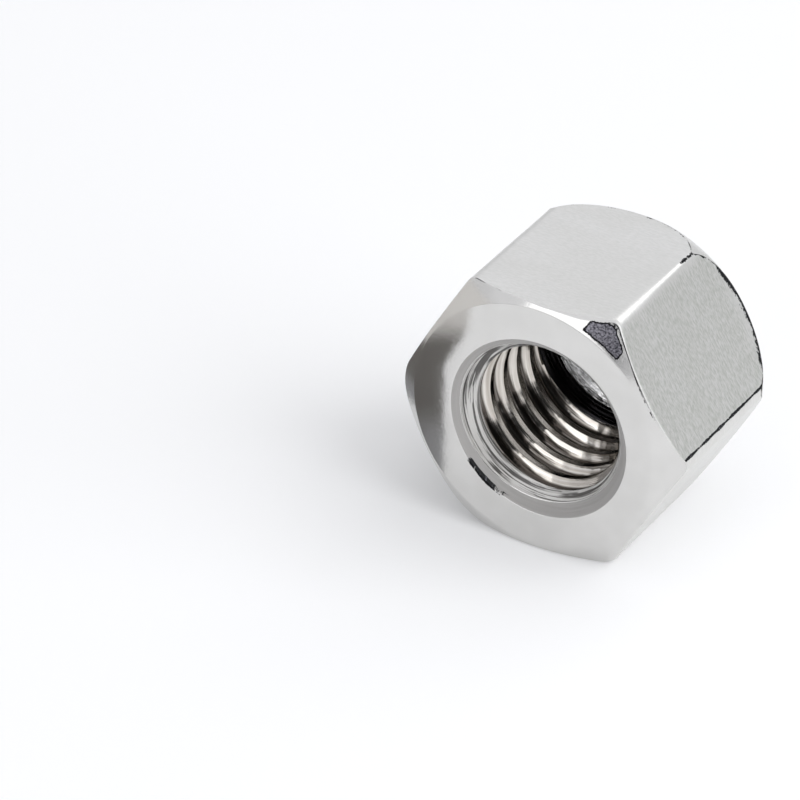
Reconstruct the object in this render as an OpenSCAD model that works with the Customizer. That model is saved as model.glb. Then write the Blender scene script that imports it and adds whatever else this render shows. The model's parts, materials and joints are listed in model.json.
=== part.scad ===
// Low hexagon cap nut: one solid piece with a blind tapped bore, lying on one of its six flats.
// X runs across the corners, Y along the bore with the mouth towards -Y, and Z is up.
// The origin is under the middle of the nut, on the surface that it lies on.
// The bore is plain, at the diameter of the thread's crests.

/* [Hexagon] */
// Width across two opposite flats
across_flats = 19; // [16:0.5:24]
// Length from the bearing face to the top of the crown
nut_length = 16; // [13:0.5:22]
// Radius of the six long edges
edge_radius = 1; // [0.3:0.1:1.6]

/* [Crown] */
// Radius of the shallow dome on the closed end
dome_radius = 26; // [22:1:60]
// Radius of the shoulder between the dome and the flats
shoulder_radius = 5.2; // [3:0.1:7]
// How far the shoulder's widest ring lies outside the sharp corners
shoulder_overrun = 0.07; // [0.02:0.01:0.5]

/* [Bearing face] */
// How far the round bearing face lies inside the flats
bearing_inset = 0.3; // [0.1:0.1:1]
// Angle between the bearing face and the chamfer on the corners
chamfer_angle = 33; // [15:1:45]

/* [Bore] */
// Diameter of the tapped bore at the thread's crests
bore_d = 10.4; // [8:0.1:12.5]
// Width of the countersink's ring on the bearing face
countersink_width = 1.45; // [0.4:0.05:1.8]
// Angle between opposite sides of the countersink
countersink_angle = 90; // [60:5:120]
// Depth of the relief groove behind the last thread
relief_depth = 1; // [0.5:0.05:1.5]
// Width of the relief groove
relief_width = 1.8; // [1:0.1:2.5]
// Angle between opposite sides of the drill point
drill_angle = 130; // [118:1:150]
// Thickness of metal between the drill point and the top of the crown
end_wall = 1.8; // [1:0.1:3]

/* [Hidden] */
$fn = 96;

// Angle from one flat of the hexagon to the next
flat_step = 60;
// Angle between a flat and the round beside it, above 0 so that the two surfaces cross
edge_break = 4;
// How far a cutting shape runs past the face that it cuts
overcut = 1;

flat_r = across_flats / 2;
corner_r = across_flats / sqrt(3);
bearing_r = flat_r - bearing_inset;
bore_r = bore_d / 2;
countersink_r = bore_r + countersink_width;
relief_r = bore_r + relief_depth;

// The drill's tip leaves end_wall of metal, and the groove ends where the drill's cone begins
drill_tip = nut_length - end_wall;
bore_depth = drill_tip - bore_r / tan(drill_angle / 2);
thread_depth = bore_depth - relief_width;

// The shoulder is a ring of round section that touches the dome from inside
shoulder_reach = corner_r + shoulder_overrun;
ring_r = shoulder_reach - shoulder_radius;
dome_y = nut_length - dome_radius;
ring_y = dome_y + sqrt(pow(dome_radius - shoulder_radius, 2) - pow(ring_r, 2));

// What is taken off one sharp corner to round it
module corner_tip() {
    centre_x = (flat_r - edge_radius * cos(edge_break)) / cos(flat_step / 2);
    arc_x = centre_x + edge_radius * cos(flat_step / 2);
    difference() {
        translate([arc_x, -edge_radius])
            square(2 * edge_radius);
        translate([centre_x, 0])
            circle(r = edge_radius);
    }
}

// Hexagon with a flat at the bottom and rounded corners
module hexagon_outline() {
    difference() {
        circle(r = corner_r, $fn = 6);
        for (corner = [0 : 5])
            rotate(corner * flat_step)
                corner_tip();
    }
}

// Half section of the dome, out to the slanted line where it runs into the shoulder
module dome_section() {
    top_y = nut_length + overcut;
    intersection() {
        translate([0, dome_y])
            circle(r = dome_radius);
        polygon([
            [0, ring_y],
            [ring_r, ring_y],
            [ring_r * (top_y - dome_y) / (ring_y - dome_y), top_y],
            [0, top_y]
        ]);
    }
}

// Half section of the turned shape: bearing face, chamfer, shoulder and dome
module turned_section() {
    polygon([
        [0, 0],
        [bearing_r, 0],
        [shoulder_reach, (shoulder_reach - bearing_r) * tan(chamfer_angle)],
        [shoulder_reach, ring_y],
        [0, ring_y]
    ]);
    intersection() {
        translate([ring_r, ring_y])
            circle(r = shoulder_radius);
        square([shoulder_reach + overcut, nut_length + overcut]);
    }
    dome_section();
}

// Hexagonal bar, turned at both ends
module blank() {
    intersection() {
        linear_extrude(height = nut_length)
            hexagon_outline();
        rotate_extrude()
            turned_section();
    }
}

// Countersink, tapped bore, relief groove and drill point
module bore() {
    rotate_extrude()
        polygon([
            [0, -overcut],
            [countersink_r, -overcut],
            [countersink_r, 0],
            [bore_r, countersink_width / tan(countersink_angle / 2)],
            [bore_r, thread_depth],
            [relief_r, thread_depth],
            [relief_r, bore_depth],
            [bore_r, bore_depth],
            [0, drill_tip]
        ]);
}

module cap_nut() {
    color([0.80, 0.80, 0.78])
        translate([0, -nut_length / 2, flat_r])
            rotate([-90, 0, 0])
                difference() {
                    blank();
                    bore();
                }
}

cap_nut();
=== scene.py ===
"""A low hexagon cap nut in bright stainless steel, lying on one of its flats on a white table."""
import json
import math

import bmesh
import bpy
import numpy as np
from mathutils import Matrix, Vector, noise


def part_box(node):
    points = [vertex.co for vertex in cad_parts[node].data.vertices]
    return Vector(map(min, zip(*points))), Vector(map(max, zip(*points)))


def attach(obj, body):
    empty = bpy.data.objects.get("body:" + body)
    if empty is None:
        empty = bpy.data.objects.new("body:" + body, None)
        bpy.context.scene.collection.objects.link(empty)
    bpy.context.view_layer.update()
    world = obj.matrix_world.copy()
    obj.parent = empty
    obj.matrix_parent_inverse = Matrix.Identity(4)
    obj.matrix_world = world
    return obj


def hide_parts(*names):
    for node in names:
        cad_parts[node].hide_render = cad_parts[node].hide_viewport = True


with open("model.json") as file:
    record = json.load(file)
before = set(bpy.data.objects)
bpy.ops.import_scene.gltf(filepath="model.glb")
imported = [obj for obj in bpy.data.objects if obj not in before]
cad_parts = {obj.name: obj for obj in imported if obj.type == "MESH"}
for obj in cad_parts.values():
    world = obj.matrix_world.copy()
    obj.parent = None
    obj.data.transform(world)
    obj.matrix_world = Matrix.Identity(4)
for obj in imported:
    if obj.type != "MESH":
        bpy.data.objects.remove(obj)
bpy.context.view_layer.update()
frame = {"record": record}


# ---------------------------------------------------------------------------------------------
# Cap nut: one piece of stainless steel, forged in a hexagon die, so its edges are full and
# uneven. Its mouth end is turned to a bearing face with chamfered corners. The blind bore is
# drilled, countersunk, relieved at the bottom and tapped 12 x 1.75 mm, right hand.
# ---------------------------------------------------------------------------------------------
# Sizes are in millimetres: radius from the bore's axis, and depth from the bearing face.
# Directions are in radians round the axis, from +X over the top.
MM = 0.001
nut_low, nut_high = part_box("cap_nut")
axis_z = (nut_low.z + nut_high.z) / 2
mouth_y = nut_low.y
flat_r = (nut_high.z - nut_low.z) / 2 / MM
nut_length = (nut_high.y - nut_low.y) / MM
thread_mount = next(m for m in frame["record"]["mounts"] if m["name"] == "thread")
crest_r = thread_mount["dims"]["r_mm"]

# The six edges of the hexagon, from +X round over the top: radius by the mouth and by the crown
edge_to_edge = math.radians(60)
edge_to_flat = math.radians(30)
mouth_edges = np.array([1.0, 1.0, 1.0, 3.6, 3.6, 1.6])
crown_edges = np.array([1.0, 0.35, 1.0, 1.2, 1.2, 1.0])

# Bearing face, a little off the axis as X + 1j * Z, and the chamfer on the corners behind it
chamfer_root_r = flat_r - 0.3
chamfer_slope = math.tan(math.radians(33))
bearing_r = 9.02
bearing_offset = -0.18 + 0.09j

# Crown: a shallow dome with a tighter shoulder
dome_radius = 26.0
shoulder_radius = 5.2
shoulder_ring_r = 2 * flat_r / math.sqrt(3) + 0.07 - shoulder_radius
dome_depth = nut_length - dome_radius
shoulder_ring_depth = dome_depth + math.sqrt((dome_radius - shoulder_radius) ** 2 - shoulder_ring_r ** 2)
dome_edge_r = dome_radius * math.sin(math.atan2(shoulder_ring_r, shoulder_ring_depth - dome_depth))

# Bore: the countersink is cut a little towards +X, with a small ledge between its two cuts
countersink_r = 6.65
countersink_offset = 0.25
ledge_r = 5.97
ledge_depth = 0.055
countersink_end = 1.85
pitch = 1.75
crest_phase = 0.445
relief_r = crest_r + 1.0
relief_length = 1.8
wall_over_drill = 1.8
drill_half_angle = math.radians(65)
drill_tip_depth = nut_length - wall_over_drill
bore_depth = drill_tip_depth - crest_r / math.tan(drill_half_angle)
thread_end = bore_depth - relief_length


def column_directions():
    """Directions of the skin's columns, closer together on the six edges than on the flats."""
    half_edge = math.radians(3.2)
    columns_on_edge, columns_on_flat = 14, 40
    on_edge = np.linspace(-half_edge, half_edge, columns_on_edge)
    on_flat = np.linspace(half_edge, edge_to_edge - half_edge, columns_on_flat + 2)[1:-1]
    around = np.concatenate([on_edge, on_flat])
    corners = edge_to_edge * np.arange(6)
    return np.sort((corners[:, None] + around[None, :]).ravel() % math.tau)


directions = column_directions()
columns = len(directions)
lip_r = countersink_r + countersink_offset * np.cos(directions)


def side_r(edge_radii):
    """Radius of the rounded hexagon on every column, with its own radius at each edge."""
    corner = np.round(directions / edge_to_edge)
    radius = edge_radii[corner.astype(int) % 6]
    away = np.abs(directions - corner * edge_to_edge)
    centre = (flat_r - radius) / math.cos(edge_to_flat)
    edge_ends = edge_to_flat - np.arctan((flat_r - radius) / (math.sqrt(3) * flat_r))
    under_root = np.maximum(radius ** 2 - (centre * np.sin(away)) ** 2, 0)
    on_edge = centre * np.cos(away) + np.sqrt(under_root)
    on_flat = flat_r / np.cos(edge_to_flat - away)
    return np.where(away < edge_ends, on_edge, on_flat)


def crown_depth(r):
    """Depth of the crown's skin at a radius."""
    dome = dome_depth + np.sqrt(dome_radius ** 2 - np.minimum(r, dome_edge_r) ** 2)
    shoulder = shoulder_ring_depth + np.sqrt(shoulder_radius ** 2 - (r - shoulder_ring_r) ** 2)
    return np.where(r < dome_edge_r, dome, shoulder)


def hump(centre_degrees, width_degrees):
    """1 in one direction, falling to 0 at a width to either side of it, on every column."""
    away = np.angle(np.exp(1j * (directions - math.radians(centre_degrees))))
    return np.cos(np.clip(away / math.radians(width_degrees), -1, 1) * math.pi / 2) ** 2


# A row of the skin holds one complex number for each column: radius + 1j * depth.
def rounded(before, corner, after, radius, steps):
    """Rows of the arc that rounds a corner between two straight stretches of the profile."""
    to_before = (before - corner) / np.abs(before - corner)
    to_after = (after - corner) / np.abs(after - corner)
    half = np.arccos(np.clip((to_before * np.conj(to_after)).real, -1, 1)) / 2
    most_of_a_side = 0.45
    room = most_of_a_side * np.minimum(np.abs(before - corner), np.abs(after - corner))
    cut = np.minimum(radius / np.tan(half), room)
    centre = corner + (to_before + to_after) / np.abs(to_before + to_after) * cut / np.cos(half)
    start = corner + to_before * cut - centre
    end = corner + to_after * cut - centre
    turn = np.angle(end / start)
    return [centre + start * np.exp(1j * turn * k) for k in np.linspace(0, 1, steps)]


def straight(start, end, steps, close=(0.04,)):
    """Rows between two rows, with some close to each so that the rounds beside them shade cleanly."""
    fractions = sorted([*close, *np.linspace(0, 1, steps + 2)[1:-1], *(1 - k for k in close)])
    return [start + (end - start) * k for k in fractions]


def outside_rows():
    """Rows from the lip out over the face, chamfer, flats and crown: (rows, their finishes, and the
    first row of the face's edge, of the chamfer's outer edge and of the crown's edge)."""
    circle_r = bearing_r + (bearing_offset * np.exp(-1j * directions)).real
    side_front, side_back = side_r(mouth_edges), side_r(crown_edges)
    in_sink = lip_r - 0.4 + 0.4j
    lip = lip_r + 0j
    face_edge = circle_r + 0j
    chamfer_edge = side_front + 1j * (side_front - chamfer_root_r) * chamfer_slope
    crown_edge = side_back + 1j * crown_depth(side_back)
    on_crown = side_back - 0.6 + 1j * crown_depth(side_back - 0.6)

    # The rounding of each edge, in millimetres, with more where the tumbling has worn it further
    lip_round = 0.05 + 0 * directions
    face_round = 0.10 + 0.75 * hump(20, 100)
    chamfer_round = 0.13 + 0.65 * hump(72, 26) + 0.16 * hump(28, 36)
    crown_round = 0.16 + 0.1 * hump(90, 40)
    lip_rows = rounded(in_sink, lip, face_edge, lip_round, 4)
    face_rows = rounded(lip, face_edge, chamfer_edge, face_round, 6)
    chamfer_rows = rounded(face_edge, chamfer_edge, crown_edge, chamfer_round, 7)
    crown_rows = rounded(chamfer_edge, crown_edge, on_crown, crown_round, 6)

    rows = [*lip_rows, *straight(lip_rows[-1], face_rows[0], 7)]
    face_at = len(rows)
    rows += [*face_rows, *straight(face_rows[-1], chamfer_rows[0], 9)]
    chamfer_at = len(rows)
    rows += [*chamfer_rows, *straight(chamfer_rows[-1], crown_rows[0], 24, close=(0.01, 0.03))]
    crown_at = len(rows)
    rows += crown_rows
    shoulder_from = crown_rows[-1].real
    for k in np.linspace(0, 1, 17)[1:]:
        r = shoulder_from + (dome_edge_r - shoulder_from) * k
        rows.append(r + 1j * crown_depth(r))
    for k in np.linspace(1, 0, 18)[1:-1]:
        r = dome_edge_r * k + 0 * directions
        rows.append(r + 1j * crown_depth(r))
    turned = chamfer_at + len(chamfer_rows) // 2
    finishes = ["turned"] * turned + ["forged"] * (len(rows) - turned)
    return rows, finishes, (face_at, chamfer_at, crown_at)


# The thread's profile, along the axis from the middle of a crest: crest, straight flank, hollow root
crest_half = 0.22
flank_length = 0.20
flank_slope = 1 / math.tan(math.radians(30))
hollow_from = crest_half + flank_length
hollow_length = pitch / 2 - hollow_from
half_turn = [0, 0.5 * crest_half, 0.85 * crest_half, crest_half - 0.012, crest_half + 0.012,
             crest_half + flank_length / 2, *(hollow_from + hollow_length * np.linspace(0, 1, 8))]
rows_per_turn = 2 * len(half_turn) - 2
one_turn = np.array([*half_turn[:-1], *(pitch - k for k in half_turn[:0:-1])]) / pitch


def tapped_r(depth):
    """Radius of the tapped wall at a depth on every column."""
    turns = depth / pitch - crest_phase + directions / math.tau
    from_crest = np.abs((turns + 0.5) % 1 - 0.5) * pitch
    up_flank = np.clip(from_crest - crest_half, 0, flank_length)
    in_hollow = np.clip(from_crest - hollow_from, 0, hollow_length)
    return crest_r + flank_slope * (up_flank + in_hollow - in_hollow ** 2 / (2 * hollow_length))


# A small raised ring on the step round the drilled bottom: how far out from the crests, how far raised
bottom_ring = ((0.05, 0), (0.24, 0), (0.27, 0.02), (0.32, 0.035), (0.37, 0.02), (0.4, 0), (0.7, 0),
               (0.985, 0))

# The cutter's chatter on the inner cut of the countersink
chatter_height, chatter_spacing = 0.011, 0.18


def bore_rows():
    """Rows from the drill's tip to the lip: (rows, their finishes, the range of them on the helix)."""
    on = np.ones(columns)
    cone = [(k * crest_r + 1j * (drill_tip_depth - k * (drill_tip_depth - bore_depth))) * on
            for k in np.linspace(0, 1, 9)[1:]]
    step = [(crest_r + out + 1j * (bore_depth - raised)) * on for out, raised in bottom_ring]
    # The relief groove, with rows close to its corners, which keep them crisp
    groove = [(relief_r + 1j * (bore_depth - 0.015)) * on,
              *[(relief_r + 1j * d) * on for d in np.linspace(bore_depth - 0.15, thread_end + 0.15, 8)],
              (relief_r + 1j * (thread_end + 0.07)) * on,
              (relief_r - 0.06 + 1j * thread_end) * on]

    turns = math.ceil(thread_end / pitch - crest_phase + 1) + 1
    places = (np.arange(turns)[:, None] + one_turn[None, :]).ravel()[::-1]
    helix = []
    for place in places:
        depth = np.clip(pitch * (place + crest_phase - directions / math.tau), countersink_end, thread_end)
        helix.append(tapped_r(depth) + 1j * depth)

    to_ledge = lip_r - ledge_r
    inner_sink = []
    for k in np.linspace(0, 1, 40)[1:]:
        depth = countersink_end + (to_ledge + 2 * ledge_depth - countersink_end) * k
        wave = np.cos(math.tau * (depth - to_ledge) / chatter_spacing)
        chatter = chatter_height * wave * math.sin(math.pi * k) ** 0.5
        inner_sink.append(np.maximum(tapped_r(depth), lip_r + ledge_depth - depth + chatter) + 1j * depth)
    ledge = [ledge_r - ledge_depth + 0.004 + 1j * (to_ledge + 0.006),
             ledge_r - 0.004 + 1j * (to_ledge + 0.004)]
    outer_sink = []
    for k in np.linspace(0, 1, 14)[:-1]:
        depth = to_ledge + (0.06 - to_ledge) * k
        outer_sink.append(np.maximum(tapped_r(depth), lip_r - depth) + 1j * depth)

    rows = cone + step + groove + helix + inner_sink + ledge + outer_sink
    finishes = ["drilled"] * len(cone) + ["relieved"] * (len(step) + len(groove)) + ["tapped"] * len(helix)
    finishes += ["countersunk"] * len(inner_sink) + ["turned"] + ["countersunk"] * (1 + len(outer_sink))
    first = len(cone) + len(step) + len(groove)
    return rows, finishes, range(first, first + len(helix))


inner_rows, inner_finishes, helix_range = bore_rows()
outer_rows, outer_finishes, outer_edges_at = outside_rows()
rows = np.array(inner_rows + outer_rows)
finishes = inner_finishes + outer_finishes
finish_names = ["forged", "turned", "countersunk", "tapped", "relieved", "drilled"]


def unevenness(points, features_per_mm, seed):
    """Smooth noise from about -1 to 1 at points in millimetres, an array of any shape by 3."""
    offset = Vector((seed, 0, 0))
    values = [noise.noise(Vector(p) * features_per_mm + offset) for p in points.reshape(-1, 3)]
    return np.array(values).reshape(points.shape[:-1])


def row_points(profile):
    """The points of rows in millimetres, with the bearing face at Y = 0 and the axis at X = Z = 0."""
    radius = profile.real
    return np.stack([radius * np.cos(directions), profile.imag, radius * np.sin(directions)], -1)


def uneven(profile):
    """The rows as forged and cut: the outside sinks a little in places, and the tap tears its crests."""
    points = row_points(profile)
    forged = np.array([f == "forged" for f in finishes])[:, None]
    tapped = np.array([f in ("tapped", "countersunk") for f in finishes])[:, None]
    inside = (profile.imag > 0.5) & (profile.imag < thread_end - 0.05) & (profile.real < flat_r - 1.5)
    sink_depth = 0.03
    sunk = 0.5 + 0.5 * unevenness(points, 0.3, 3) + 0.25 * unevenness(points, 0.9, 11)
    behind_mouth = np.clip(profile.imag / 0.6, 0, 1)
    profile = profile - forged * behind_mouth * sink_depth * np.clip(sunk, 0, 1.2)
    torn = 0.020 * unevenness(points, 1.3, 5) + 0.006 * unevenness(points, 4.0, 7)
    return profile + np.where(tapped & inside, torn * (0.5 + 1j), 0)


rows = uneven(rows)


# The dark patch on the upper right corner's chamfer, a painted reflection of the unlit opening: its gaps to
# the two flats, radii and half width
patch_gap_top, patch_gap_right = 0.22, 0.28
patch_inner_r, patch_outer_r = 9.24, 10.5
patch_direction, patch_half_width = math.radians(59.6), 1.5

# How much scale is left in each of the six edges, from +X round over the top
scale_in_edges = (0.88, 0.3, 0.45, 0.55, 0.55, 0.6)


def painted_reflection_patch(profile):
    """How far inside the dark patch, a painted reflection, a row lies on every column, in millimetres."""
    x, z = profile.real * np.cos(directions), profile.real * np.sin(directions)
    from_top = flat_r - z - patch_gap_top
    from_right = flat_r - (x * math.cos(edge_to_flat) + z * math.sin(edge_to_flat)) - patch_gap_right
    from_ends = patch_half_width - np.abs(directions - patch_direction) * profile.real
    from_circles = profile.real - patch_inner_r, patch_outer_r - profile.real
    return np.min([from_top, from_right, *from_circles, from_ends], axis=0)


def scale_and_painted_shade():
    """How much dark forging scale the tumbling has left on each point, and where painted reflection and
    painted shade lie with it. It shows above two thirds.
    """
    left = np.zeros((len(rows), columns))
    lip = len(inner_rows)
    face, chamfer, crown = (lip + at for at in outer_edges_at)

    def keep_most(first, end, amount):
        left[first:end] = np.maximum(left[first:end], amount)

    # The patch, a painted reflection, thick from 0.1 mm inside its outline
    for row in range(face, chamfer + 2):
        left[row] = np.clip(0.67 + painted_reflection_patch(rows[row]) / 0.3, 0, 1.3)
    # The crown's edge, most on the upper right flat, and fading on to the flats
    round_crown = 0.6 + 0.24 * np.minimum(2 * hump(31, 50), 1)
    left[crown:crown + 2] = round_crown
    left[crown - 1] = round_crown - 0.14
    left[crown - 2] = round_crown - 0.3
    # The chamfer's outer edge, by the upper right flat and at the top flat's left end: a dark line, partly
    # scale and partly painted reflection
    keep_most(chamfer, chamfer + 2,
              0.5 + 0.3 * hump(40, 34) + 0.5 * hump(116.5, 4) - 0.4 * hump(85, 25))
    # A thin line along each of the six edges
    for edge, amount in enumerate(scale_in_edges):
        keep_most(chamfer + 6, crown + 2, amount * hump(60 * edge + 2.4, 1.5))
    # A dark mark where the upper right edge meets the crown, and in the lip of the countersink a black
    # mark, painted shade of a nick that the skin doesn't have
    keep_most(crown - 6, crown + 2, 0.72 * hump(60, 2.4))
    left[lip - 3:lip + 5] = 0.86 * hump(232, 30) ** 0.5
    return left


def on_axis(depth):
    """The point of the axis at a depth, in metres."""
    return (0, mouth_y + depth * MM, axis_z)


def skin_vertices():
    """Every row's points, in metres, then the drill's tip and the top of the crown."""
    points = row_points(rows) * MM + np.array([0, mouth_y, axis_z])
    return points.reshape(-1, 3).tolist() + [on_axis(drill_tip_depth), on_axis(nut_length)]


def across_seam(row):
    """The row of the first column that the last column's row meets: a helix is one turn on there."""
    return min(row + rows_per_turn, helix_range[-1]) if row in helix_range else row


def skin_faces():
    """Faces between neighbouring rows and columns, and a fan at each end of the axis."""
    tip, top = len(rows) * columns, len(rows) * columns + 1
    last_row = len(rows) - 1
    faces, slots = [], []
    for column in range(columns):
        beside = (column + 1) % columns
        met = across_seam if beside == 0 else int
        faces.append((tip, column, beside))
        slots.append(finish_names.index("drilled"))
        for row in range(last_row):
            near, far = row * columns + column, (row + 1) * columns + column
            faces.append((near, far, met(row + 1) * columns + beside, met(row) * columns + beside))
            slots.append(finish_names.index(finishes[row]))
        faces.append((top, last_row * columns + beside, last_row * columns + column))
        slots.append(finish_names.index("forged"))
    return faces, slots


def build_nut():
    """The nut's closed skin. Rows of the helix that lie past its ends are merged there."""
    faces, slots = skin_faces()
    mesh = bpy.data.meshes.new("cap_nut_body")
    mesh.from_pydata(skin_vertices(), [], faces)
    mesh.polygons.foreach_set("material_index", slots)
    mesh.polygons.foreach_set("use_smooth", [True] * len(faces))
    # Per point: the dark scale, with the painted reflection and painted shade, for the steels to read
    scale = mesh.attributes.new("scale_and_painted_shade", "FLOAT", "POINT")
    scale.data.foreach_set("value", [*scale_and_painted_shade().ravel().tolist(), 0, 0])
    skin = bmesh.new()
    skin.from_mesh(mesh)
    same_point = 2e-7
    bmesh.ops.remove_doubles(skin, verts=skin.verts, dist=same_point)
    bmesh.ops.recalc_face_normals(skin, faces=skin.faces)
    skin.to_mesh(mesh)
    skin.free()
    nut = bpy.data.objects.new("cap_nut_body", mesh)
    bpy.context.scene.collection.objects.link(nut)
    shading = nut.modifiers.new("shading", "WEIGHTED_NORMAL")
    shading.weight = 90
    return nut


nut = build_nut()


def feed(tree, socket, value):
    """Links a node's input to another node's output, or sets it to a plain value."""
    if isinstance(value, bpy.types.NodeSocket):
        tree.links.new(value, socket)
    else:
        socket.default_value = value


def add_node(tree, kind, inputs=None, **settings):
    """Adds a shader node, with its settings and with its inputs set or linked."""
    made = tree.nodes.new("ShaderNode" + kind)
    for name, value in settings.items():
        setattr(made, name, value)
    for name, value in (inputs or {}).items():
        feed(tree, made.inputs[name], value)
    return made


def calc(tree, operation, *values):
    """A Math node on sockets or numbers."""
    return add_node(tree, "Math", dict(enumerate(values)), operation=operation).outputs[0]


def ramp(tree, value, low, high, to_low=0.0, to_high=1.0):
    """Turns a range of values into another, with a soft start and end."""
    inputs = {"Value": value, "From Min": low, "From Max": high, "To Min": to_low, "To Max": to_high}
    return add_node(tree, "MapRange", inputs, interpolation_type="SMOOTHSTEP").outputs["Result"]


def blend(tree, share, first, second, kind="RGBA"):
    """A colour, or with kind VECTOR a vector, between two, by a share."""
    made = add_node(tree, "Mix", {"Factor": share}, data_type=kind)
    for socket, value in zip([i for i in made.inputs if i.type == kind][-2:], (first, second)):
        feed(tree, socket, value)
    return [o for o in made.outputs if o.type == kind][0]


def mottle(tree, position, per_mm, detail, roughness):
    """Noise from 0 to 1 at a position in millimetres."""
    inputs = {"Vector": position, "Scale": per_mm, "Detail": detail, "Roughness": roughness}
    return add_node(tree, "TexNoise", inputs).outputs["Fac"]


def new_group(name, inputs, outputs):
    """A node group with float inputs and named outputs: (group, its input node, its output node)."""
    group = bpy.data.node_groups.new(name, "ShaderNodeTree")
    for title, value in inputs.items():
        socket = group.interface.new_socket(title, in_out="INPUT", socket_type="NodeSocketFloat")
        socket.default_value = value
    for title, kind in outputs.items():
        group.interface.new_socket(title, in_out="OUTPUT", socket_type="NodeSocket" + kind)
    return group, group.nodes.new("NodeGroupInput"), group.nodes.new("NodeGroupOutput")


def use_group(tree, group, inputs=None):
    """Places a group in a material or in another group: its outputs by name."""
    return add_node(tree, "Group", inputs, node_tree=group).outputs


def lathe_places():
    """Where a point of the skin is, in millimetres and turns round the axis.

    The turns run on from 60/360 to 1 + 60/360, so that their seam lies in an edge of the hexagon."""
    group, _, out = new_group("lathe_places", {}, {"Position": "Vector", "Radius": "Float",
                                                   "Depth": "Float", "Turn": "Float"})
    from_mouth = (0, -mouth_y, -axis_z)
    place = add_node(group, "TexCoord").outputs["Object"]
    moved = add_node(group, "VectorMath", {0: place, 1: from_mouth}, operation="ADD").outputs[0]
    position = add_node(group, "VectorMath", {0: moved, "Scale": 1 / MM}, operation="SCALE").outputs[0]
    opposite_seam = math.radians(240)
    along = (math.cos(opposite_seam), 0, math.sin(opposite_seam))
    across = (-math.sin(opposite_seam), 0, math.cos(opposite_seam))
    near, side = (add_node(group, "VectorMath", {0: position, 1: way},
                           operation="DOT_PRODUCT").outputs["Value"] for way in (along, across))
    turn = calc(group, "MULTIPLY", calc(group, "ARCTAN2", side, near), 1 / math.tau)
    squares = calc(group, "ADD", calc(group, "MULTIPLY", near, near), calc(group, "MULTIPLY", side, side))
    feed(group, out.inputs["Position"], position)
    feed(group, out.inputs["Radius"], calc(group, "SQRT", squares))
    feed(group, out.inputs["Depth"], add_node(group, "SeparateXYZ", {0: position}).outputs["Y"])
    feed(group, out.inputs["Turn"], calc(group, "ADD", turn, opposite_seam / math.tau))
    return group


def tool_lines():
    """Fine lines that a cutting edge leaves round the axis, from 0 to 1, by one or two measures in
    millimetres across them."""
    group, given, out = new_group("tool_lines", {"Across 1": 0, "Across 2": 0, "Turn": 0,
                                                 "Lines per mm": 8, "Breaks per Turn": 3},
                                  {"Lines": "Float"})
    given, lines = given.outputs, given.outputs["Lines per mm"]
    where = add_node(group, "CombineXYZ", {
        "X": calc(group, "MULTIPLY", given["Across 1"], lines),
        "Y": calc(group, "MULTIPLY", given["Across 2"], lines),
        "Z": calc(group, "MULTIPLY", given["Turn"], given["Breaks per Turn"])}).outputs[0]
    feed(group, out.inputs["Lines"], ramp(group, mottle(group, where, 1.0, 3.0, 0.62), 0.25, 0.75))
    return group


def forged_grain():
    """The skin of forged and tumbled steel, each from 0 to 1: soft dents, fine grain and cloudy tone."""
    group, given, out = new_group("forged_grain", {"Dents per mm": 1.3, "Grains per mm": 8},
                                  {"Dents": "Float", "Grain": "Float", "Cloud": "Float"})
    place = use_group(group, places_group)
    streaks_per_turn = 20.0
    drawn_round = add_node(group, "CombineXYZ", {
        "X": calc(group, "MULTIPLY", place["Turn"], streaks_per_turn),
        "Y": place["Depth"],
        "Z": calc(group, "MULTIPLY", place["Radius"], 0.3)}).outputs[0]
    facing = add_node(group, "SeparateXYZ", {0: add_node(group, "TexCoord").outputs["Normal"]}).outputs["Y"]
    on_flats = ramp(group, calc(group, "ABSOLUTE", facing), 0.15, 0.35, 1.0, 0.0)
    position = blend(group, on_flats, place["Position"], drawn_round, "VECTOR")
    for name, per_mm, detail, low, high in (("Dents", given.outputs["Dents per mm"], 2.0, 0.2, 0.8),
                                            ("Grain", given.outputs["Grains per mm"], 3.0, 0.25, 0.75),
                                            ("Cloud", 0.35, 2.0, 0.3, 0.7)):
        feed(group, out.inputs[name], ramp(group, mottle(group, position, per_mm, detail, 0.55), low, high))
    return group


def edge_scale_and_painted_shade():
    """Where dark forging scale is left in an edge, and where painted reflection and painted shade lie with
    it, by the mesh's own scale_and_painted_shade values, from 0 to 1: Mask is where it shows, and Depth is
    where it is thick."""
    group, given, out = new_group("edge_scale_and_painted_shade", {"Spread": 0.6}, {"Mask": "Float", "Depth": "Float"})
    position = use_group(group, places_group)["Position"]
    left = add_node(group, "Attribute", attribute_name="scale_and_painted_shade").outputs["Fac"]
    drawn = add_node(group, "VectorMath", {0: position, 1: (1, 1, 0.4)}, operation="MULTIPLY").outputs[0]
    fine = calc(group, "SUBTRACT", mottle(group, drawn, 7.0, 3.0, 0.7), 0.5)
    broad = calc(group, "SUBTRACT", mottle(group, position, 0.9, 1.0, 0.5), 0.5)
    total = calc(group, "MULTIPLY_ADD", fine, given.outputs["Spread"], left)
    total = calc(group, "MULTIPLY_ADD", broad, 0.7, total)
    shown = calc(group, "MULTIPLY", ramp(group, total, 0.63, 0.72), ramp(group, left, 0.05, 0.3))
    feed(group, out.inputs["Mask"], shown)
    feed(group, out.inputs["Depth"], ramp(group, total, 0.94, 1.04))
    return group


places_group = lathe_places()
lines_group = tool_lines()
grain_group = forged_grain()
scale_and_shade_group = edge_scale_and_painted_shade()


def new_steel(name, metallic=1.0):
    """An empty steel finish: (material, its node tree)."""
    material = bpy.data.materials.new(name)
    material.use_nodes = True
    material.node_tree.nodes["Principled BSDF"].inputs["Metallic"].default_value = metallic
    return material, material.node_tree


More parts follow.
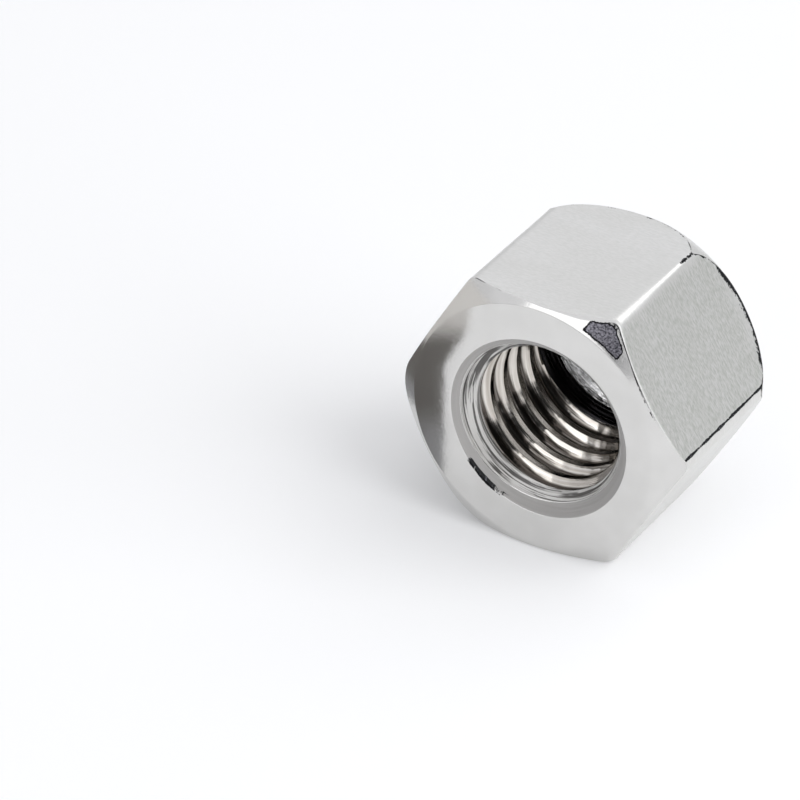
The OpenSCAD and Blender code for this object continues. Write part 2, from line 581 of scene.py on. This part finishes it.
def finish_steel(material, colour, roughness, *relief):
    """Gives a steel its colour, its roughness and its relief: pairs of a mask and its height in mm."""
    tree = material.node_tree
    shader = tree.nodes["Principled BSDF"]
    height = 0.0
    for mask, mask_height in relief:
        height = calc(tree, "MULTIPLY_ADD", mask, mask_height, height)
    bump = add_node(tree, "Bump", {"Height": height, "Distance": MM, "Strength": 1.0})
    feed(tree, shader.inputs["Base Color"], colour)
    feed(tree, shader.inputs["Roughness"], roughness)
    feed(tree, shader.inputs["Normal"], bump.outputs["Normal"])
    return material


def cut_lines(tree, across_1, across_2, lines_per_mm, breaks_per_turn=3):
    """The cutting edge's lines in a finish, by one or two measures in millimetres across them."""
    return use_group(tree, lines_group, {
        "Across 1": across_1, "Across 2": across_2, "Turn": use_group(tree, places_group)["Turn"],
        "Lines per mm": lines_per_mm, "Breaks per Turn": breaks_per_turn})["Lines"]


# Colours of the dark scale, also used for the painted reflection and painted shade laid with it
scale_and_shade_black = (0.012, 0.012, 0.014, 1)
scale_and_shade_dark = (0.05, 0.05, 0.06, 1)
scale_and_shade_pale = (0.34, 0.33, 0.37, 1)
scale_relief = -0.012


def with_scale_and_painted_shade(tree, colour):
    """Lays the dark scale, and the painted reflection and painted shade, over a colour, mottled where it is
    thick: (colour, mask).
    """
    scale = use_group(tree, scale_and_shade_group)
    spots = mottle(tree, use_group(tree, places_group)["Position"], 8.0, 3.0, 0.7)
    mottled = blend(tree, ramp(tree, spots, 0.35, 0.65), scale_and_shade_dark, scale_and_shade_pale)
    dark = blend(tree, scale["Depth"], scale_and_shade_black, mottled)
    return blend(tree, scale["Mask"], colour, dark), scale["Mask"]


def forged_steel():
    """Tumbled to a satin, with an orange-peel skin and dark scale left in some edges. The upper right
    flat is a little coarser and greener than the others."""
    material, tree = new_steel("forged_steel")
    place = use_group(tree, places_group)
    grain = use_group(tree, grain_group)
    bright = blend(tree, grain["Cloud"], (0.72, 0.715, 0.695, 1), (0.75, 0.745, 0.73, 1))
    upper_right_flat = 1 + 30 / 360
    off_flat = calc(tree, "ABSOLUTE", calc(tree, "SUBTRACT", place["Turn"], upper_right_flat))
    coarse = calc(tree, "MULTIPLY", ramp(tree, off_flat, 0.072, 0.08, 0.75, 0.0),
                  ramp(tree, place["Depth"], 12.0, 13.6, 1.0, 0.0))
    share = calc(tree, "MULTIPLY", grain["Grain"], calc(tree, "ADD", coarse, 0.25))
    speckled = blend(tree, share, bright, (0.50, 0.515, 0.475, 1))
    colour, scale = with_scale_and_painted_shade(tree, speckled)
    roughness = calc(tree, "MULTIPLY_ADD", scale, 0.15, ramp(tree, grain["Grain"], 0, 1, 0.28, 0.36))
    return finish_steel(material, colour, roughness, (grain["Dents"], 0.006), (grain["Grain"], 0.005),
                        (scale, scale_relief))


def turned_steel():
    """The bearing face: faced on a lathe, then tumbled until its lines are almost gone. It carries painted
    reflection in the dark corner patch and along the chamfer's outer edge, and the painted shade of the
    lip's nick.
    """
    material, tree = new_steel("turned_steel")
    grain = use_group(tree, grain_group, {"Dents per mm": 0.8, "Grains per mm": 6})
    lines = cut_lines(tree, use_group(tree, places_group)["Radius"], 0.0, 5)
    bright = blend(tree, grain["Cloud"], (0.66, 0.655, 0.64, 1), (0.70, 0.695, 0.68, 1))
    colour, scale = with_scale_and_painted_shade(tree, bright)
    roughness = calc(tree, "MULTIPLY_ADD", scale, 0.2, ramp(tree, grain["Grain"], 0, 1, 0.12, 0.18))
    return finish_steel(material, colour, roughness, (grain["Dents"], 0.004), (grain["Grain"], 0.0012),
                        (lines, 0.0006), (scale, scale_relief))


def countersunk_steel():
    """The countersink: cut coarsely, so that it is greyer and ringed. Its lip carries the painted shade of
    a nick.
    """
    material, tree = new_steel("countersunk_steel", metallic=0.15)
    place = use_group(tree, places_group)
    lines = cut_lines(tree, place["Radius"], place["Depth"], 5, 2)
    on_outer = ramp(tree, place["Radius"], ledge_r - 0.02, ledge_r + 0.02)
    inner = blend(tree, ramp(tree, lines, 0.3, 0.65), (0.12, 0.115, 0.11, 1), (0.70, 0.69, 0.67, 1))
    outer = blend(tree, lines, (0.40, 0.39, 0.38, 1), (0.47, 0.46, 0.45, 1))
    colour, _ = with_scale_and_painted_shade(tree, blend(tree, on_outer, inner, outer))
    return finish_steel(material, colour, ramp(tree, on_outer, 0, 1, 0.24, 0.75), (lines, 0.012))


def tapped_steel():
    """The thread: a little straw coloured, with streaks along its turns. Its grooves are darkened with
    painted shade, which reaches further up the flanks low on its left."""
    material, tree = new_steel("tapped_steel")
    place = use_group(tree, places_group)
    along_helix = calc(tree, "MULTIPLY_ADD", place["Turn"], pitch, place["Depth"])
    lines = cut_lines(tree, along_helix, place["Radius"], 5, 5)
    # Painted shade: darker in the grooves, and further up the flanks round this turn
    shade_turn = 229 / 360
    off_shade_turn = calc(tree, "ABSOLUTE", calc(tree, "SUBTRACT", place["Turn"], shade_turn))
    shade_reach = ramp(tree, off_shade_turn, 0.0, 0.12, 0.36, 0.0)
    in_groove = ramp(tree, calc(tree, "ADD", place["Radius"], shade_reach), crest_r + 0.4, crest_r + 0.55)
    unshaded = blend(tree, lines, (0.50, 0.46, 0.41, 1), (0.74, 0.71, 0.665, 1))
    painted_shade = calc(tree, "MULTIPLY", in_groove, ramp(tree, lines, 0.3, 0.9, 1.0, 0.7))
    colour = blend(tree, painted_shade, unshaded, (0.07, 0.06, 0.052, 1))
    return finish_steel(material, colour, ramp(tree, lines, 0, 1, 0.16, 0.08), (lines, 0.005))


def relieved_steel():
    """The relief groove: smooth, and painted dark for the shade deep in the bore."""
    material, tree = new_steel("relieved_steel")
    place = use_group(tree, places_group)
    lines = cut_lines(tree, place["Radius"], place["Depth"], 3)
    colour = blend(tree, lines, (0.09, 0.085, 0.09, 1), (0.16, 0.155, 0.16, 1))
    return finish_steel(material, colour, ramp(tree, lines, 0, 1, 0.2, 0.15), (lines, 0.002))


def drilled_steel():
    """The end of the bore: torn by the drill and bright."""
    material, tree = new_steel("drilled_steel")
    place = use_group(tree, places_group)
    lines = cut_lines(tree, place["Radius"], place["Depth"], 5, 14)
    grain = use_group(tree, grain_group, {"Dents per mm": 2.5, "Grains per mm": 5})
    torn = calc(tree, "MULTIPLY", lines, grain["Dents"])
    colour = blend(tree, torn, (0.6, 0.6, 0.6, 1), (0.95, 0.95, 0.94, 1))
    return finish_steel(material, colour, ramp(tree, torn, 0, 1, 0.25, 0.12), (torn, 0.03))


steels = {"forged": forged_steel, "turned": turned_steel, "countersunk": countersunk_steel,
          "tapped": tapped_steel, "relieved": relieved_steel, "drilled": drilled_steel}
for finish in finish_names:
    nut.data.materials.append(steels[finish]())

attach(nut, "root")
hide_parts("cap_nut")


# ---------------------------------------------------------------------------------------------
# Table: a sheet of matt white board that the nut lies on. It keeps the nut's soft shadow, and
# glows a little to the eye and in reflections, so that it is as white as the tent round it.
# ---------------------------------------------------------------------------------------------
table_size = 4.0
table_glow = 0.15
bpy.ops.mesh.primitive_plane_add(size=table_size, location=(0, 0, nut_low.z))
table = bpy.context.object
table.name = "table"


def matt(name, roughness):
    """A material without a sheen: (material, its node tree, its shader)."""
    material = bpy.data.materials.new(name)
    material.use_nodes = True
    shader = material.node_tree.nodes["Principled BSDF"]
    shader.inputs["Roughness"].default_value = roughness
    shader.inputs["Specular IOR Level"].default_value = 0.0
    return material, material.node_tree, shader


board, tree, shader = matt("white_board", 0.9)
shader.inputs["Base Color"].default_value = (0.96, 0.965, 0.98, 1)
glow = add_node(tree, "Emission", {"Color": (1, 1, 1, 1), "Strength": 1.0})
path = add_node(tree, "LightPath").outputs
seen = calc(tree, "MAXIMUM", path["Is Camera Ray"], path["Is Glossy Ray"])
share = calc(tree, "MULTIPLY", seen, table_glow)
mixed = add_node(tree, "MixShader", {0: share, 1: shader.outputs[0], 2: glow.outputs[0]})
feed(tree, tree.nodes["Material Output"].inputs["Surface"], mixed.outputs[0])
table.data.materials.append(board)


# ---------------------------------------------------------------------------------------------
# Studio: a white tent with four soft lamps, and an unlit opening towards the camera, which the
# thread mirrors. Left of the mouth stands a grey card, which only the nut's reflections show; its paper
# carries painted shade.
# ---------------------------------------------------------------------------------------------
scene = bpy.context.scene
scene.view_settings.view_transform = "Standard"


def direction(azimuth, elevation):
    """The unit vector of a compass direction in radians, from the front to the right and up."""
    return Vector((math.sin(azimuth) * math.cos(elevation), -math.cos(azimuth) * math.cos(elevation),
                   math.sin(elevation)))


# The tent's wall in reflections: its brightness at the table and overhead, and more by the right lamp
wall_low, wall_high = 0.68, 1.0
lamp_side_towards, lamp_side_more = (0.86, -0.1, 0.5), 0.5
# The opening is an upright oval: with its heights squashed by this much, it is round
opening_squash = 0.6
opening_towards = direction(math.radians(31), math.radians(19))
opening_unlit = 0.95
# The light that the tent gives to matt surfaces
wall_plain = 0.37

world = bpy.data.worlds.new("white_tent")
scene.world = world
world.use_nodes = True
tree = world.node_tree
tree.nodes.clear()


def nearness(tree, vector, target, wide, narrow):
    """From 0 to 1 as a direction turns from a wide to a narrow angle off another, in degrees."""
    cosine = add_node(tree, "VectorMath", {0: vector, 1: target}, operation="DOT_PRODUCT").outputs["Value"]
    return ramp(tree, cosine, math.cos(math.radians(wide)), math.cos(math.radians(narrow)))


towards = add_node(tree, "TexCoord").outputs["Generated"]
height = add_node(tree, "SeparateXYZ", {0: towards}).outputs["Z"]
squashed = add_node(tree, "VectorMath", {0: towards, 1: (1, 1, opening_squash)}, operation="MULTIPLY")
squashed = add_node(tree, "VectorMath", {0: squashed.outputs[0]}, operation="NORMALIZE").outputs[0]
in_opening = nearness(tree, squashed, opening_towards, 28, 20)
unlit = calc(tree, "MULTIPLY", in_opening, ramp(tree, height, 0.0, 0.12))
lamp_side = nearness(tree, towards, lamp_side_towards, 42, 15)
wall = ramp(tree, height, 0.0, 0.5, wall_low, wall_high)
wall = calc(tree, "MULTIPLY_ADD", lamp_side, lamp_side_more, wall)
mirrored = calc(tree, "MULTIPLY", wall, calc(tree, "MULTIPLY_ADD", unlit, -opening_unlit, 1.0))
path = add_node(tree, "LightPath").outputs
not_camera = calc(tree, "MULTIPLY_ADD", path["Is Glossy Ray"], calc(tree, "SUBTRACT", mirrored, wall_plain),
                  wall_plain)
level = calc(tree, "MAXIMUM", path["Is Camera Ray"], not_camera)
tent = add_node(tree, "Background", {"Color": (0.965, 0.97, 1.0, 1), "Strength": level})
add_node(tree, "OutputWorld", {"Surface": tent.outputs[0]})


def softbox(name, place, size, energy, mirrored=True):
    """A square soft lamp that points at the nut. Polished steel shows it only if it is mirrored."""
    lamp_data = bpy.data.lights.new(name, "AREA")
    lamp_data.size = size
    lamp_data.energy = energy
    lamp = bpy.data.objects.new(name, lamp_data)
    lamp.location = place
    lamp.rotation_euler = Vector(place).to_track_quat("Z", "Y").to_euler()
    lamp.visible_glossy = mirrored
    scene.collection.objects.link(lamp)


softbox("overhead_softbox", (0.1, -0.05, 0.7), 1.1, 2.45, mirrored=False)
softbox("back_right_softbox", (0.2, 0.58, 0.52), 0.46, 0.6)
softbox("front_left_softbox", (-0.187, -0.807, 0.351), 0.52, 0.64)
softbox("right_softbox", (0.72, 0.05, 0.45), 0.9, 6.2, mirrored=False)

# The card's foot, in millimetres, the way it runs, and its outline as lengths along that way and up
card_foot, card_way = Vector((-9.45, -12.3, 0)), Vector((-0.855, 0.518, 0))
card_outline = [(0, 0), (20, 0), (20, 20), (-1.6, 20), (-1.6, 12), (0, 9)]
card_points = [(card_foot + card_way * along + Vector((0, 0, up))) * MM for along, up in card_outline]
card_mesh = bpy.data.meshes.new("grey_card")
card_mesh.from_pydata(card_points, [], [range(len(card_points))])
card = bpy.data.objects.new("grey_card", card_mesh)
scene.collection.objects.link(card)
card.visible_camera = False
card.visible_diffuse = False
card.visible_shadow = False
paper, tree, shader = matt("grey_paper", 1.0)
# The paper is painted shade and light: darkest from 6 to 10.5 mm up, paler below and pale above 12.5 mm,
# for the shaded and lit sides of a neighbouring nut that the bearing face mirrors
up_card = add_node(tree, "SeparateXYZ", {0: add_node(tree, "TexCoord").outputs["Object"]}).outputs["Z"]
lower = blend(tree, ramp(tree, up_card, 3 * MM, 6 * MM), (0.40, 0.40, 0.41, 1), (0.22, 0.21, 0.2, 1))
shade = blend(tree, ramp(tree, up_card, 10.5 * MM, 12.5 * MM), lower, (0.85, 0.83, 0.81, 1))
feed(tree, shader.inputs["Base Color"], shade)
card_mesh.materials.append(paper)


# ---------------------------------------------------------------------------------------------
# Camera: a long lens, from the right of the bore's mouth and a third of the way up. It aims left
# of the nut, which leaves the white table free there.
# ---------------------------------------------------------------------------------------------
camera_back = direction(math.radians(31.22), math.radians(32.74))
camera_distance = 0.3633
camera_aim = Vector((-0.01699, 0.00301, 0))
camera_data = bpy.data.cameras.new("camera")
camera_data.sensor_width = 36
camera_data.lens = 234.9
camera_data.clip_start = 0.01
camera = bpy.data.objects.new("camera", camera_data)
camera.location = camera_aim + camera_back * camera_distance
camera.rotation_euler = camera_back.to_track_quat("Z", "Y").to_euler()
scene.collection.objects.link(camera)
scene.camera = camera
